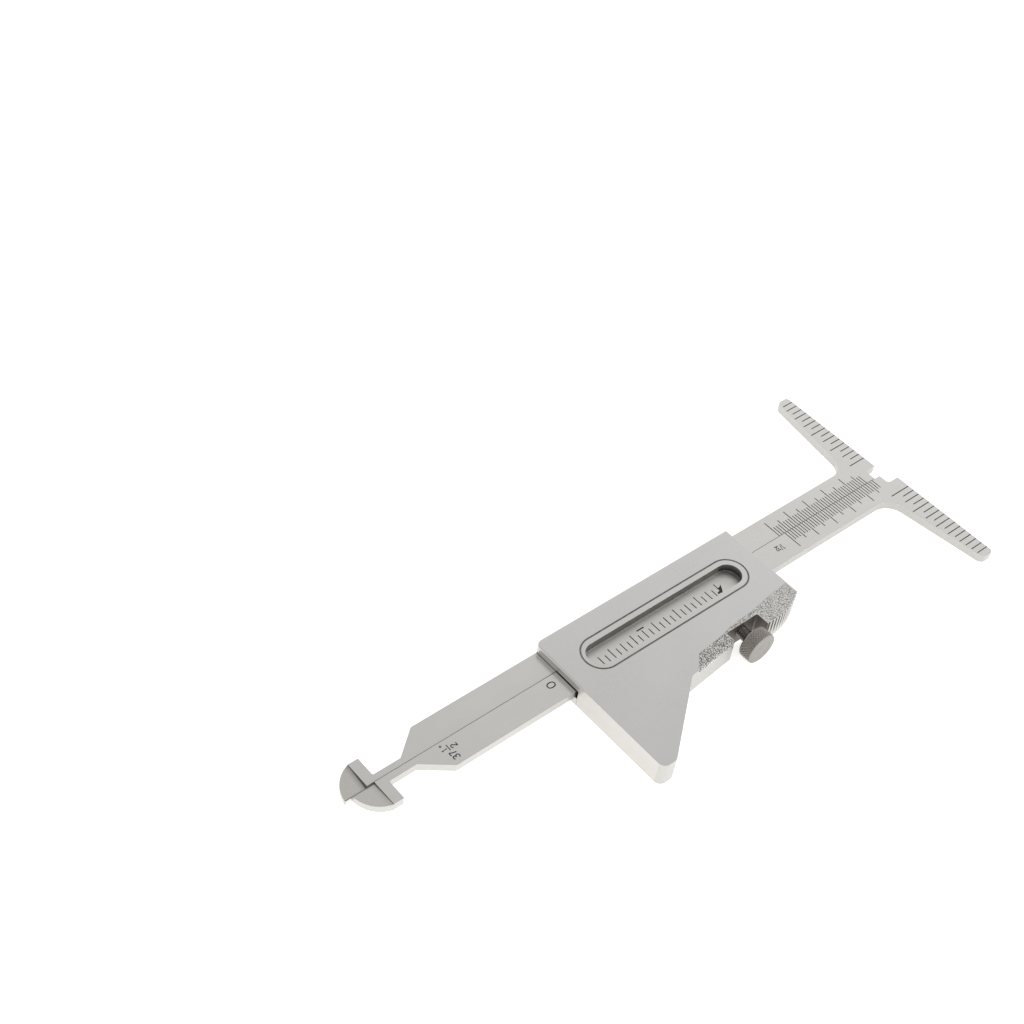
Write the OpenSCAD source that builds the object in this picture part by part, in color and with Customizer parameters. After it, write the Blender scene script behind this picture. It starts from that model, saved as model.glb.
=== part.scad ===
// Internal alignment (hi-lo) welding gauge.
// Two mirror-image blades slide side by side through a flat body. Each blade
// has a half hook at one end and a graduated wing at the other. The body has a
// triangular measuring foot, a window over the scale of one blade, and a thumb
// lug with a lock screw that clamps both blades through a gib strip.
// X runs along the blades towards the wings, Y across them, Z out of the face.
// The origin is on the back face, on the parting line, at the middle of the body.

/* [Blades] */
// Width of each blade
blade_w = 6.35; // [6:0.05:6.4]
// Thickness of each blade
blade_t = 2.0; // [1.8:0.05:2.0]
// Gap left between the two blades
blade_gap = 0.06; // [0.04:0.01:0.1]
// How far the right blade stands ahead of the left one
blade_lead = 1.7; // [0:0.05:4]
// Distance from the hook's inner face to the wings' measuring edge
blade_len = 150.3; // [146:0.1:156]
// Radius of the hook's round tip
hook_r = 6.9; // [6.8:0.05:7.1]
// Length of the thick root of the hook
hook_root = 2.5; // [2:0.1:4]
// How much thinner the left hook is beyond its root, at the parting line
relief_left = 0.75; // [0.3:0.05:1]
// How much thinner the right hook is beyond its root, at the parting line
relief_right = 0.45; // [0.3:0.05:1]
// What is left of that relief at the hook's outer side
relief_out = 0.13; // [0.1:0.01:0.3]
// Half width of the neck on one blade
neck_w = 1.58; // [1.2:0.02:2.2]
// Length of the neck behind the hook
neck_len = 6.75; // [4:0.05:9]
// Angle of the shoulder, the standard bevel angle
bevel_angle = 37.5; // [30:0.5:45]

/* [Wings] */
// Reach of each wing from the parting line
wing_span = 32; // [28:0.1:36]
// Width of the wing at its root
wing_root = 7.2; // [6.6:0.05:8]
// Width of the wing at its tip
wing_tip = 3.68; // [3:0.02:5]
// Radius between the blade and the wing
wing_fillet = 4.75; // [3:0.05:6]
// Half width of the notch between the wings
notch_w = 2.8; // [2:0.1:3.5]
// Depth of the notch between the wings
notch_d = 3.3; // [2:0.1:4]

/* [Graduations] */
// Width of an engraved line on the wings and in the window
line_w = 0.24; // [0.12:0.02:0.3]
// Width of an engraved line along the parting line
fine_w = 0.22; // [0.12:0.02:0.3]
// Depth of an engraved line
line_d = 0.12; // [0.06:0.02:0.2]
// Spacing of the lines on the wings and in the window
coarse_pitch = 1.5875; // [1:0.0125:2]
// Spacing of the lines along the parting line
fine_pitch = 0.79375; // [0.5:0.00625:1]

/* [Body] */
// Length of the body along the blades
body_l = 57; // [54:0.1:60]
// Thickness of the body
body_t = 6.2; // [6.2:0.05:6.6]
// Thickness of the back cover
cover_t = 2.1; // [2:0.05:2.1]
// Outer side of the wall beside the left blade
wall_y = 7.35; // [7.2:0.05:8]
// Tip of the measuring foot
foot_y = -32.05; // [-35:0.05:-30]
// Radius at the tip of the foot
foot_r = 1.7; // [0.5:0.1:1.8]

/* [Window] */
// Length of the window
win_l = 44.55; // [36:0.05:46]
// Width of the window
win_w = 5.96; // [4:0.02:6.2]
// Middle of the window across the body
win_y = -2.67; // [-2.8:0.01:-2.5]
// Distance from the window to the groove around it
ring_off = 1.4; // [1.2:0.05:1.5]
// Width of the groove
ring_w = 0.4; // [0.2:0.02:0.5]
// Depth of the groove
ring_d = 0.25; // [0.1:0.05:0.5]

/* [Thumb lug and lock screw] */
// Place of the lock screw along the body
lock_x = 12.1; // [11.8:0.1:12.4]
// Diameter of the knurled head
head_d = 7.7; // [7:0.1:7.8]
// Thickness of the knurled head
head_t = 3.2; // [2.5:0.1:3.4]
// Nominal thread diameter of the lock screw
lock_d = 3; // [2.5:0.1:3]
// Pitch of the ridges on the thumb pad
ridge_pitch = 1.0; // [0.8:0.05:1.4]
// Depth of the ridges on the thumb pad
ridge_d = 0.32; // [0.1:0.02:0.45]

/* [Hidden] */
$fn = 96;

front = -body_l / 2;
rear = body_l / 2;
blade_z0 = cover_t + 0.05;
blade_z1 = blade_z0 + blade_t;
roof_z = blade_z1 + 0.05;
hook_x = -74.65;
hook_c = [-0.85, -0.35];
half_gap = blade_gap / 2;
chan_y = 6.40;
mouth_y = -6.85;
pocket_y = -8.6;
lock_z = 3.40;
lock_tip = -9.62;
notch_x0 = 6.9;
notch_x1 = 16.35;
notch_y = -14.4;
pad_c = [18.58, 0.84];
pad_r = 18.8;
screw_y = -10.5;
screw_xs = [-20.9, -8.4, 4.1, 20.9];

function unit(v) = v / norm(v);
function at(P, i) = P[(i + len(P)) % len(P)];
function cr(a, b) = a[0] * b[1] - a[1] * b[0];
// Corner i of outline P: distance to the tangent points, and the arc's centre
function d_in(P, i) = unit(at(P, i - 1) - P[i]);
function d_out(P, i) = unit(at(P, i + 1) - P[i]);
function half_ang(P, i) = acos(d_in(P, i) * d_out(P, i)) / 2;
function tan_pt(P, R, i) = R[i] / tan(half_ang(P, i));
function arc_c(P, R, i) = P[i] + unit(d_in(P, i) + d_out(P, i)) * R[i] / sin(half_ang(P, i));
function convex(P, i) = cr(P[i] - at(P, i - 1), at(P, i + 1) - P[i]) > 0;
function cut_pts(P, R) = [for (i = [0:len(P) - 1]) each (R[i] == 0 ? [P[i]]
    : [P[i] + d_in(P, i) * tan_pt(P, R, i), P[i] + d_out(P, i) * tan_pt(P, R, i)])];

// Outline P, anticlockwise, with true arcs of radius R[i] at its corners
module round_poly(P, R) {
  difference() {
    union() {
      polygon(cut_pts(P, R));
      for (i = [0:len(P) - 1])
        if (R[i] > 0 && convex(P, i)) translate(arc_c(P, R, i)) circle(R[i]);
    }
    for (i = [0:len(P) - 1])
      if (R[i] > 0 && !convex(P, i)) translate(arc_c(P, R, i)) circle(R[i]);
  }
}

module stadium(l, w) {
  square([l - w, w], center = true);
  for (s = [-1, 1]) translate([s * (l - w) / 2, 0]) circle(d = w);
}

// ---- blades: drawn for the left one, measured from the hook's inner face ----

shoulder_x = neck_len + (blade_w - neck_w) / tan(bevel_angle);
tip_x = blade_len - wing_tip;
function wing_at(y) = wing_root + (wing_tip - wing_root) * (y - blade_w) / (wing_span - blade_w);

module blade_outline() {
  round_poly([
    [-hook_root, half_gap], [blade_len - notch_d, half_gap], [blade_len - notch_d, notch_w],
    [blade_len, notch_w], [blade_len, wing_span], [tip_x, wing_span],
    [blade_len - wing_root, blade_w], [shoulder_x, blade_w], [neck_len, neck_w],
    [0, neck_w], [0, blade_w], [-hook_root, blade_w]],
    [0, 0, 0.8, 0.5, 1.0, 1.6, wing_fillet, 0, 0.6, 0.3, 0.25, 0]);
  intersection() {
    translate(hook_c) circle(r = hook_r);
    translate([-hook_root - 8, half_gap]) square([8.001, blade_w - half_gap]);
  }
}

// One engraved line of width w across the blade, from y0 to y1
module line_y(x, y0, y1, w) {
  translate([x - w / 2, y0, blade_z1 - line_d]) cube([w, y1 - y0, line_d + 1]);
}

module wing_scale(long, medium, short) {
  for (k = [0:15]) {
    y = blade_w + coarse_pitch * k;
    l = min(k % 4 == 0 ? long : (k % 2 == 0 ? medium : short), wing_at(y) - 0.4);
    translate([blade_len - l, y - line_w / 2, blade_z1 - line_d]) cube([l + 1, line_w, line_d + 1]);
  }
}

module centre_scale() {
  for (k = [0:38])
    line_y(113.98 + fine_pitch * k, -1, k % 8 == 0 ? 4.9 : (k % 8 == 4 ? 3.8 : 2.8), fine_w);
}

module window_scale() {
  for (k = [0:22])
    line_y(54.1 + coarse_pitch * k, k % 4 == 2 ? 1.75 : (k % 4 == 0 ? 2.2 : 2.7), 4.9, line_w);
  translate([54.1 + coarse_pitch * 8 - 1.0, 1.55, blade_z1 - line_d]) cube([2.0, 0.34, line_d + 1]);
}

module blade(long, medium, short, window, relief) {
  difference() {
    translate([0, 0, blade_z0]) linear_extrude(blade_t) blade_outline();
    // the hook is ground down beyond its root, deepest at the parting line
    translate([-hook_root, 0, blade_z1 - relief]) rotate([atan((relief - relief_out) / blade_w), 0, 0])
      translate([-10, -2, 0]) cube([10, blade_w + 4, 3]);
    wing_scale(long, medium, short);
    centre_scale();
    if (window) window_scale();
  }
}

module left_blade() {
  color("silver") translate([hook_x, 0, 0]) blade(5.2, 4.3, 3.3, false, relief_left);
}

module right_blade() {
  color("silver") translate([hook_x + blade_lead, 0, 0]) mirror([0, 1, 0]) blade(6.2, 5.0, 3.9, true, relief_right);
}

// ---- body ----

// Ridged outer side of the thumb pad, from the notch to the rear end
pad_a0 = atan2(-sqrt(pad_r * pad_r - pow(notch_x1 - pad_c[0], 2)), notch_x1 - pad_c[0]);
pad_a1 = atan2(-sqrt(pad_r * pad_r - pow(rear - pad_c[0], 2)), rear - pad_c[0]);
ridges = floor((pad_a1 - pad_a0) * PI / 180 * pad_r / ridge_pitch);
pad_pts = [for (i = [0:2 * ridges])
  let (a = pad_a0 + (pad_a1 - pad_a0) * i / (2 * ridges), r = pad_r - (i % 2 == 1 ? ridge_d : 0))
  [pad_c[0] + r * cos(a), pad_c[1] + r * sin(a)]];
// The sloping side of the foot meets the lug at this corner
lug_corner = [-7.2, -18.5];
foot_x = lug_corner[0] - (lug_corner[1] - foot_y) / tan(bevel_angle);

module body_outline() {
  P = concat([[rear, wall_y], [front, wall_y], [front, foot_y], [foot_x, foot_y], lug_corner,
    [notch_x0, -17.15], [notch_x0, notch_y], [notch_x1, notch_y]], pad_pts);
  R = concat([0.3, 1.8, foot_r, foot_r, 1.2, 0.4, 0.4, 0.4], [for (p = pad_pts) 0]);
  round_poly(P, R);
}

// Tabs of the cover that carry its screws, and the strip that closes the pocket
module flange(grow) {
  for (t = [[-24.4, 7.6], [17.0, 24.6]])
    round_poly([[t[1] + grow, pocket_y + 1], [t[0] - grow, pocket_y + 1],
      [t[0] - grow, -12.9 - grow], [t[1] + grow, -12.9 - grow]], [0, 0, 2, 2]);
  translate([-24.45 - grow, pocket_y + 0.05 - grow]) square([49.9 + 2 * grow, 2 + grow]);
}

module window_cut(extra) {
  translate([0.175, win_y]) stadium(win_l + 2 * extra, win_w + 2 * extra);
}

// The groove stops a little short at the mouth end
module ring_cut(extra) {
  translate([0.4, win_y]) stadium(win_l - 0.45 + 2 * extra, win_w + 2 * extra);
}

module body() {
  color("silver") difference() {
    linear_extrude(body_t) body_outline();
    // blade channel, open to the back for the cover
    translate([front - 1, mouth_y, -1]) cube([body_l + 2, chan_y - mouth_y, roof_z + 1]);
    // lead-in over the right blade at the mouth
    translate([front - 1, mouth_y, blade_z0]) cube([4, -mouth_y - 0.1, roof_z - blade_z0 + 0.25]);
    // gib pocket
    translate([-24.5, pocket_y, -1]) cube([50, mouth_y - pocket_y + 0.5, roof_z + 1]);
    // seat of the cover flange
    translate([0, 0, -1]) linear_extrude(cover_t + 1) flange(0.05);
    // groove that takes the cover's tongue
    translate([-26.05, chan_y - 0.5, 0.65]) cube([52.1, 0.95, 0.8]);
    // window and the groove around it
    translate([0, 0, roof_z - 1]) linear_extrude(body_t) window_cut(0);
    translate([0, 0, body_t - ring_d]) linear_extrude(1) difference() {
      ring_cut(ring_off + ring_w / 2);
      ring_cut(ring_off - ring_w / 2);
    }
    // thread and pad bore of the lock screw
    translate([lock_x, notch_y - 5, lock_z]) rotate([-90, 0, 0]) cylinder(d = lock_d, h = lock_tip - notch_y + 5);
    translate([lock_x, lock_tip - 1, lock_z]) rotate([-90, 0, 0]) cylinder(r = 0.80, h = 3);
    // tapped holes of the cover screws
    for (x = screw_xs) translate([x, screw_y, cover_t - 0.5]) cylinder(r = 1.02, h = 3.6);
  }
}

module screw_cone(grow) {
  translate([0, 0, -0.01]) cylinder(r1 = 1.95 + grow, r2 = 1.0 + grow, h = 0.96);
}

module back_cover() {
  color("gainsboro") difference() {
    union() {
      linear_extrude(cover_t) {
        translate([front, mouth_y + 0.03]) square([body_l, chan_y - mouth_y - 0.06]);
        flange(0);
      }
      // tongue along the edge beside the left blade
      translate([-26, chan_y - 0.5, 0.7]) cube([52, 0.9, 0.7]);
    }
    for (x = screw_xs) translate([x, screw_y, 0]) {
      screw_cone(0.02);
      translate([0, 0, -0.5]) cylinder(r = 1.1, h = cover_t + 1);
    }
  }
}

module cover_screws() {
  color("darkgray") for (i = [0:len(screw_xs) - 1]) translate([screw_xs[i], screw_y, 0]) difference() {
    union() {
      translate([0, 0, 0.04]) cylinder(r1 = 1.9, r2 = 1.0, h = 0.9);
      translate([0, 0, 0.9]) cylinder(r = 1.0, h = 4.0);
    }
    rotate(20 + 47 * i) translate([-3, -0.25, -0.2]) cube([6, 0.5, 0.75]);
  }
}

module gib_strip() {
  color("goldenrod") translate([-24.3, -7.45, blade_z0]) cube([49.6, 1.05, blade_t]);
}

// Bowed leaf: its ends press on the pocket wall, its middle on the gib strip
module gib_spring() {
  r = 125;
  color("slategray") intersection() {
    translate([-7, -7.5 - r, blade_z0 + 0.1]) difference() {
      cylinder(r = r, h = blade_t - 0.2, $fn = 360);
      translate([0, 0, -1]) cylinder(r = r - 0.15, h = blade_t + 2, $fn = 360);
    }
    translate([-22, -8.55, 0]) cube([30, 1.2, body_t]);
  }
}

module lock_pad() {
  color("goldenrod") translate([lock_x, lock_tip + 0.02, lock_z]) rotate([-90, 0, 0]) cylinder(r = 0.77, h = 2.1);
}

module lock_screw() {
  head_y = -17.5;
  color("gray") translate([lock_x, 0, lock_z]) rotate([90, 0, 0]) {
    translate([0, 0, -lock_tip]) cylinder(d = lock_d - 0.08, h = -head_y + lock_tip + 0.2);
    // chamfered head, turned about the screw's axis
    translate([0, 0, -head_y]) rotate_extrude() polygon([
      [0, 0], [head_d / 2 - 0.35, 0], [head_d / 2, 0.35], [head_d / 2, head_t - 0.4],
      [head_d / 2 - 0.4, head_t], [0, head_t]]);
  }
}

body();
back_cover();
cover_screws();
left_blade();
right_blade();
gib_strip();
gib_spring();
lock_pad();
lock_screw();
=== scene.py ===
import math

import bmesh
import bpy
import numpy as np
from mathutils import Matrix, Vector


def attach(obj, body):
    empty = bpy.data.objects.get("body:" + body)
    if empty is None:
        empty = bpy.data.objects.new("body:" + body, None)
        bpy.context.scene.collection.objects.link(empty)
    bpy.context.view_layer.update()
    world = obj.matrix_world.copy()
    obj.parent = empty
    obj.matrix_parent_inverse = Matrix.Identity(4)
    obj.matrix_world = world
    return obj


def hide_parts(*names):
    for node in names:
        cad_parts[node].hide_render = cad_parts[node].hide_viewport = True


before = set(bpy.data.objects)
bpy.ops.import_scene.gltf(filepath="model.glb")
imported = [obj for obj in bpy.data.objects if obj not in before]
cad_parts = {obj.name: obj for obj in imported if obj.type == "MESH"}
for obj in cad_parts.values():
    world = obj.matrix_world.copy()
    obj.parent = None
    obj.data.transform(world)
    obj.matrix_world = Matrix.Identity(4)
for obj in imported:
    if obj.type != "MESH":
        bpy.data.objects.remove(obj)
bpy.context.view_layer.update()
scene = bpy.context.scene

# All shaping is done in millimetres and scaled to metres at the end.
BLADE_TOP = 4.15
FACE = 6.2
HOOK_L = -74.65
HOOK_R = HOOK_L + 1.7


# ---------------------------------------------------------------- materials

def new_material(name):
    m = bpy.data.materials.new(name)
    m.use_nodes = True
    nt = m.node_tree
    nt.nodes.clear()
    out = nt.nodes.new("ShaderNodeOutputMaterial")
    bsdf = nt.nodes.new("ShaderNodeBsdfPrincipled")
    nt.links.new(bsdf.outputs["BSDF"], out.inputs["Surface"])
    return m, nt, bsdf


def noise(nt, scale, detail=3.0, rough=0.55, vec=None, distortion=0.0):
    n = nt.nodes.new("ShaderNodeTexNoise")
    n.noise_dimensions = "3D"
    n.inputs["Scale"].default_value = 1.0
    n.inputs["Detail"].default_value = detail
    n.inputs["Roughness"].default_value = rough
    n.inputs["Distortion"].default_value = distortion
    tc = nt.nodes.new("ShaderNodeTexCoord")
    mp = nt.nodes.new("ShaderNodeMapping")
    mp.inputs["Scale"].default_value = scale
    nt.links.new(tc.outputs["Object"], mp.inputs["Vector"])
    nt.links.new(mp.outputs["Vector"], n.inputs["Vector"])
    return n.outputs["Fac"]


def ramp(nt, value, lo, hi, a, b):
    r = nt.nodes.new("ShaderNodeMapRange")
    r.clamp = True
    r.inputs["From Min"].default_value = lo
    r.inputs["From Max"].default_value = hi
    r.inputs["To Min"].default_value = a
    r.inputs["To Max"].default_value = b
    nt.links.new(value, r.inputs["Value"])
    return r.outputs["Result"]


def math_node(nt, op, a, b):
    n = nt.nodes.new("ShaderNodeMath")
    n.operation = op
    for i, v in enumerate((a, b)):
        if isinstance(v, (int, float)):
            n.inputs[i].default_value = v
        else:
            nt.links.new(v, n.inputs[i])
    return n.outputs[0]


def mix_colour(nt, fac, a, b):
    n = nt.nodes.new("ShaderNodeMix")
    n.data_type = "RGBA"
    if isinstance(fac, (int, float)):
        n.inputs["Factor"].default_value = fac
    else:
        nt.links.new(fac, n.inputs["Factor"])
    for name, v in (("A", a), ("B", b)):
        sock = [s for s in n.inputs if s.name == name and s.type == "RGBA"][0]
        if isinstance(v, tuple):
            sock.default_value = (*v, 1.0)
        else:
            nt.links.new(v, sock)
    return [s for s in n.outputs if s.type == "RGBA"][0]


def bump(nt, bsdf, height, strength, distance):
    b = nt.nodes.new("ShaderNodeBump")
    b.inputs["Strength"].default_value = strength
    b.inputs["Distance"].default_value = distance
    nt.links.new(height, b.inputs["Height"])
    nt.links.new(b.outputs["Normal"], bsdf.inputs["Normal"])


def distance(nt, axis, signed=False):
    """Distance along an axis from the origin, in metres."""
    tc = nt.nodes.new("ShaderNodeTexCoord")
    sep = nt.nodes.new("ShaderNodeSeparateXYZ")
    nt.links.new(tc.outputs["Object"], sep.inputs["Vector"])
    return sep.outputs[axis] if signed else math_node(nt, "ABSOLUTE", sep.outputs[axis], 0.0)


def steel(name, low, high, rough, grain, rough_amp=0.025, bump_amt=0.10, blotch=55.0, mark=0.22, inside=None, fade=None):
    """Satin steel: fine grain (stretched by grain, in 1/m), slow tonal clouds and a few darker handling marks."""
    m, nt, bsdf = new_material(name)
    fine = noise(nt, grain, 4.0, 0.6)
    streak = noise(nt, (grain[0] * 0.35, grain[1] * 0.3, grain[2] * 0.3), 3.0, 0.55)
    cloud = noise(nt, (blotch, blotch * 1.3, blotch), 3.0, 0.5, distortion=0.4)
    marks = noise(nt, (420.0, 620.0, 520.0), 5.0, 0.65, distortion=0.8)
    tone = math_node(nt, "ADD", math_node(nt, "MULTIPLY", cloud, 0.6), math_node(nt, "MULTIPLY", streak, 0.4))
    col = mix_colour(nt, ramp(nt, tone, 0.3, 0.7, 0.0, 1.0), low, high)
    dirt = tuple(c * s for c, s in zip(low, (0.93, 0.92, 0.907)))
    col = mix_colour(nt, ramp(nt, marks, 0.6, 0.78, 0.0, mark), col, dirt)
    nt.links.new(col, bsdf.inputs["Base Color"])
    bsdf.inputs["Metallic"].default_value = 1.0
    r = math_node(nt, "ADD", ramp(nt, fine, 0.3, 0.7, rough - rough_amp, rough + rough_amp),
                  ramp(nt, cloud, 0.3, 0.7, -0.02, 0.03))
    if inside:
        # the length that stays inside the body is duller, and its tone is painted lighter to set how bright the blade
        # looks in the window: painted light, not a finish: (added roughness, tone)
        away = distance(nt, "X")
        r = math_node(nt, "ADD", r, ramp(nt, away, 0.0185, 0.0275, inside[0], 0.0))
        inside_painted_tone = tuple(c * k for c, k in zip(low, inside[1]))
        col = mix_colour(nt, ramp(nt, away, 0.0185, 0.0275, 1.0, 0.0), col, inside_painted_tone)
        nt.links.new(col, bsdf.inputs["Base Color"])
    if fade:
        # slow change of tone along the length, used as painted shade on the side faces: (from, to, end tone), in
        # metres
        end = mix_colour(nt, ramp(nt, tone, 0.3, 0.7, 0.0, 1.0), tuple(c * fade[2] for c in low), tuple(c * fade[2] for c in high))
        col = mix_colour(nt, ramp(nt, distance(nt, "X", True), fade[0], fade[1], 0.0, 1.0), col, end)
        nt.links.new(col, bsdf.inputs["Base Color"])
    nt.links.new(r, bsdf.inputs["Roughness"])
    bump(nt, bsdf, fine, bump_amt, 0.00001)
    return m


def relief(name, low, high, rough, foot, dark):
    """Relieved face of a half hook: satin, with painted shade browning it towards the foot of the step at X = foot,
    and a painted dark line along the parting line.
    """
    m, nt, bsdf = new_material(name)
    n = noise(nt, (1200.0, 7000.0, 7000.0), 4.0, 0.6)
    base = mix_colour(nt, ramp(nt, n, 0.3, 0.7, 0.0, 1.0), low, high)
    painted_shade = tuple(c * dark * k for c, k in zip(low, (1.0, 0.975, 0.94)))
    # painted shade of the step, strongest at its foot
    near_foot = ramp(nt, distance(nt, "X", True), foot - 0.0016, foot, 0.0, 1.0)
    near_foot = math_node(nt, "POWER", near_foot, 1.6)
    col = mix_colour(nt, near_foot, base, painted_shade)
    # painted shade along the parting line, within 0.3 mm of it
    col = mix_colour(nt, ramp(nt, distance(nt, "Y"), 0.0001, 0.0003, 0.85, 0.0), col, (0.13, 0.126, 0.118))
    nt.links.new(col, bsdf.inputs["Base Color"])
    nt.links.new(ramp(nt, n, 0.3, 0.7, rough - 0.02, rough + 0.03), bsdf.inputs["Roughness"])
    bsdf.inputs["Metallic"].default_value = 1.0
    return m


def dark_fill(name, dark=(0.035, 0.034, 0.033), lighter_tone=(0.10, 0.098, 0.094)):
    """Dark fill of a line: worn black paint in an etched line, painted shade in the ring groove."""
    m, nt, bsdf = new_material(name)
    n = noise(nt, (2600.0, 2600.0, 2600.0), 4.0, 0.6)
    col = mix_colour(nt, ramp(nt, n, 0.42, 0.72, 0.0, 1.0), dark, lighter_tone)
    nt.links.new(col, bsdf.inputs["Base Color"])
    nt.links.new(ramp(nt, n, 0.3, 0.7, 0.5, 0.75), bsdf.inputs["Roughness"])
    bsdf.inputs["Metallic"].default_value = 0.0
    bump(nt, bsdf, n, 0.3, 0.00001)
    return m


def end_wall(name, upper, foot):
    """Rear end wall of the window, painted dark for its shade: grey towards the top, near black at its foot."""
    m, nt, bsdf = new_material(name)
    n = noise(nt, (2600.0, 2600.0, 900.0), 4.0, 0.6)
    up = ramp(nt, distance(nt, "Z", True), 0.0047, 0.0061, 0.0, 1.0)
    dark = mix_colour(nt, ramp(nt, n, 0.3, 0.7, 0.0, 1.0), tuple(c * 0.7 for c in foot), foot)
    grey = mix_colour(nt, ramp(nt, n, 0.3, 0.7, 0.0, 1.0), tuple(c * 0.75 for c in upper), upper)
    nt.links.new(mix_colour(nt, up, dark, grey), bsdf.inputs["Base Color"])
    nt.links.new(ramp(nt, n, 0.3, 0.7, 0.5, 0.72), bsdf.inputs["Roughness"])
    bsdf.inputs["Metallic"].default_value = 0.0
    bump(nt, bsdf, n, 0.3, 0.00001)
    return m


def milled(name, low, high, rough, axis):
    """Cutter-marked wall, darkened to paint the shade of the recess it lines; the marks run along the given axis
    scale.
    """
    m, nt, bsdf = new_material(name)
    lines = noise(nt, axis, 3.0, 0.6)
    cloud = noise(nt, (260.0, 260.0, 260.0), 4.0, 0.6, distortion=0.5)
    t = math_node(nt, "ADD", math_node(nt, "MULTIPLY", lines, 0.6), math_node(nt, "MULTIPLY", cloud, 0.4))
    nt.links.new(mix_colour(nt, ramp(nt, t, 0.3, 0.7, 0.0, 1.0), low, high), bsdf.inputs["Base Color"])
    nt.links.new(ramp(nt, lines, 0.3, 0.7, rough - 0.06, rough + 0.08), bsdf.inputs["Roughness"])
    bsdf.inputs["Metallic"].default_value = 1.0
    bump(nt, bsdf, lines, 0.35, 0.00002)
    return m


def knurled(name, low, high, painted_shade, valley, peak):
    """Punched grip: crests keep the steel's tone, valleys by height are painted dark: painted shade."""
    m, nt, bsdf = new_material(name)
    n = noise(nt, (3000.0, 3000.0, 3000.0), 3.0, 0.6)
    at = nt.nodes.new("ShaderNodeAttribute")
    at.attribute_name = "crest"
    base = mix_colour(nt, ramp(nt, n, 0.3, 0.7, 0.0, 1.0), low, high)
    nt.links.new(mix_colour(nt, ramp(nt, at.outputs["Fac"], valley, peak, 0.0, 1.0), painted_shade, base), bsdf.inputs["Base Color"])
    nt.links.new(ramp(nt, at.outputs["Fac"], 0.1, 0.9, 0.55, 0.27), bsdf.inputs["Roughness"])
    bsdf.inputs["Metallic"].default_value = 1.0
    bump(nt, bsdf, n, 0.3, 0.00001)
    return m


def parting(name):
    """Edge of a blade along the parting line: painted shade outside the body, darkest in front of the mouth, and a
    painted highlight where it runs inside the body.
    """
    m, nt, bsdf = new_material(name)
    away = distance(nt, "X")
    n = noise(nt, (1800.0, 4000.0, 4000.0), 3.0, 0.6)
    crease_shade = mix_colour(nt, ramp(nt, n, 0.3, 0.7, 0.0, 1.0), (0.30, 0.291, 0.278), (0.43, 0.42, 0.404))
    # painted shade, darkest in front of the mouth
    crease_shade = mix_colour(nt, ramp(nt, distance(nt, "X", True), -0.0335, -0.0295, 0.0, 1.0), crease_shade, (0.07, 0.067, 0.063))
    crease_shade = mix_colour(nt, ramp(nt, distance(nt, "X", True), 0.0, 0.001, 0.0, 1.0), crease_shade, (0.33, 0.321, 0.307))
    # painted highlight where the edge runs inside the body
    nt.links.new(mix_colour(nt, ramp(nt, away, 0.024, 0.028, 0.0, 1.0), (0.80, 0.795, 0.78), crease_shade), bsdf.inputs["Base Color"])
    nt.links.new(ramp(nt, n, 0.3, 0.7, 0.28, 0.42), bsdf.inputs["Roughness"])
    bsdf.inputs["Metallic"].default_value = 1.0
    return m


M_BODY = steel("body_satin", (0.622, 0.618, 0.608), (0.652, 0.652, 0.648), 0.30, (2600.0, 5200.0, 5200.0), bump_amt=0.04, mark=0.0)
# Front and nose faces: a darker copy of the body steel, painted shade.
M_FRONT = steel("body_front", (0.582, 0.567, 0.550), (0.614, 0.600, 0.583), 0.36, (5200.0, 900.0, 5200.0), mark=0.1)
M_BLADE = steel("blade_satin", (0.650, 0.642, 0.625), (0.682, 0.676, 0.662), 0.23, (900.0, 9000.0, 9000.0), bump_amt=0.06, mark=0.06,
                inside=(0.20, (1.065, 1.058, 1.048)))
M_EDGE = steel("edge_polished", (0.620, 0.615, 0.603), (0.680, 0.675, 0.662), 0.27, (1500.0, 6000.0, 6000.0))
# Side faces: a darker copy of the steel, painted shade, and darker still towards +X by the fade, also painted shade.
M_SIDE = steel("side_steel_shaded", (0.538, 0.532, 0.519), (0.574, 0.568, 0.555), 0.33, (1500.0, 6000.0, 6000.0), bump_amt=0.06, mark=0.1,
               fade=(-0.050, 0.030, 0.855))
M_RELIEF_L = relief("relief_left", (0.655, 0.630, 0.596), (0.680, 0.660, 0.630), 0.25, (HOOK_L - 2.5) / 1000.0, 0.55)
M_RELIEF_R = relief("relief_right", (0.568, 0.553, 0.530), (0.592, 0.578, 0.556), 0.25, (HOOK_R - 2.5) / 1000.0, 0.80)
# Riser of the hook step: steel darkened to paint the shade in the step.
M_RISER = steel("riser_painted_shade", (0.26, 0.250, 0.235), (0.32, 0.310, 0.294), 0.40, (6000.0, 1500.0, 6000.0))
M_COVER = steel("cover_satin", (0.56, 0.558, 0.550), (0.62, 0.616, 0.608), 0.33, (700.0, 8000.0, 8000.0))
# Window, notch and channel walls: dark steel that paints the shade in these recesses; the window's end wall is
# painted shade too.
M_WINDOW = milled("window_wall", (0.150, 0.143, 0.130), (0.275, 0.262, 0.242), 0.42, (6500.0, 6500.0, 350.0))
M_WINDOW_END = end_wall("window_end", (0.150, 0.141, 0.130), (0.014, 0.0127, 0.0114))
M_NOTCH = milled("notch_wall", (0.225, 0.210, 0.195), (0.318, 0.299, 0.280), 0.54, (6500.0, 6500.0, 450.0))
M_INNER = milled("channel_wall", (0.15, 0.145, 0.138), (0.24, 0.231, 0.221), 0.45, (500.0, 7000.0, 7000.0))
M_INK = dark_fill("etched_ink", (0.022, 0.0215, 0.021), (0.065, 0.063, 0.06))
# Ring groove round the window: its fill is painted shade.
M_RING = dark_fill("ring_groove_shade", (0.215, 0.206, 0.193), (0.355, 0.341, 0.322))
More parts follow.
